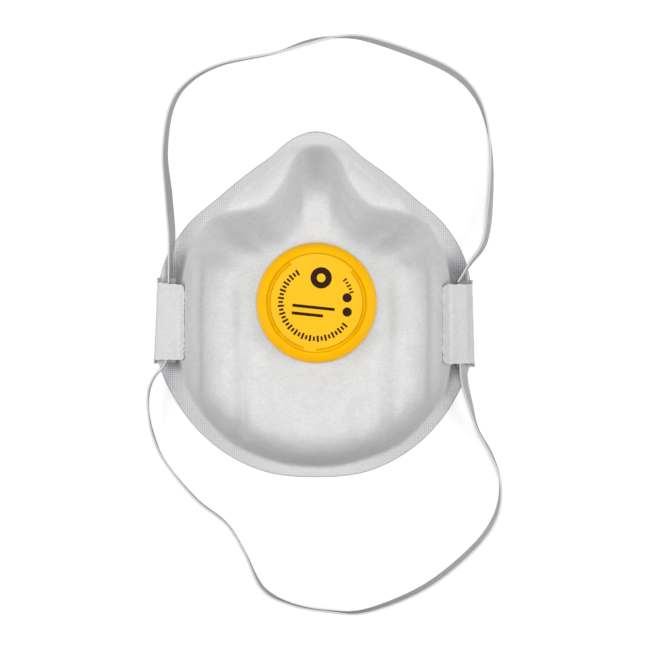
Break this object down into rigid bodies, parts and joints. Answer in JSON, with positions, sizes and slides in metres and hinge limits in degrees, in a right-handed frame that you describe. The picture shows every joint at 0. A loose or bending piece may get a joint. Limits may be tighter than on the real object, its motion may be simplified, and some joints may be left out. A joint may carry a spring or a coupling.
{
  "type": "disposable dust mask",
  "caption": "Moulded felt cup respirator with a welded rim, folded strap sleeves, elastic head and neck loops, and a round clip-in exhalation valve.",
  "frame": {"origin": "on the rim's underside plane, straight below the centre of the exhalation valve", "axes": "+Y towards the nose, +Z out through the valve, +X towards the right of a viewer who looks at the valve with the nose up; the cup is mirror-symmetric about X = 0 but for its rim, trimmed about a millimetre closer on the +X cheek"},
  "size_m": [0.1417, 0.2311, 0.0556],
  "materials": {
    "felt": "soft white needle felt",
    "filter_web": "white melt-blown web",
    "lining_web": "smooth white spun web",
    "sleeve_web": "white spun web, heat-welded",
    "elastic": "ribbed white elastic",
    "cap_yellow": "satin yellow",
    "seat_yellow": "satin deep yellow",
    "silicone": "translucent silicone",
    "nose_aluminium": "dull rolled strip",
    "nose_foam": "open-cell grey foam"
  },
  "bodies": {
    "mask": {"outer_cover": "felt", "filter_layer": "filter_web", "inner_lining": "lining_web", "left_strap_sleeve": "sleeve_web", "right_strap_sleeve": "sleeve_web", "left_strap_run": "elastic", "right_strap_run": "elastic", "valve_seat": "seat_yellow", "valve_cap": "cap_yellow", "valve_retaining_ring": "cap_yellow", "nose_clip": "nose_aluminium", "nose_foam": "nose_foam"},
    "head_loop": {"head_strap": "elastic"},
    "neck_loop": {"neck_strap": "elastic"},
    "diaphragm": {"valve_diaphragm": "silicone"}
  },
  "joints": [
    {"name": "head_strap_swing", "type": "hinge", "parent": "mask", "child": "head_loop", "pos_m": [0, 0.014, 0.0062], "axis": [1, 0, 0], "range_deg": [0, 95]},
    {"name": "neck_strap_swing", "type": "hinge", "parent": "mask", "child": "neck_loop", "pos_m": [0, -0.028, 0.0062], "axis": [-1, 0, 0], "range_deg": [0, 95]},
    {"name": "diaphragm_lift", "type": "slide", "parent": "mask", "child": "diaphragm", "axis": [0, 0, 1], "range_m": [0, 0.0012], "stiffness_N_per_m": 10}
  ]
}
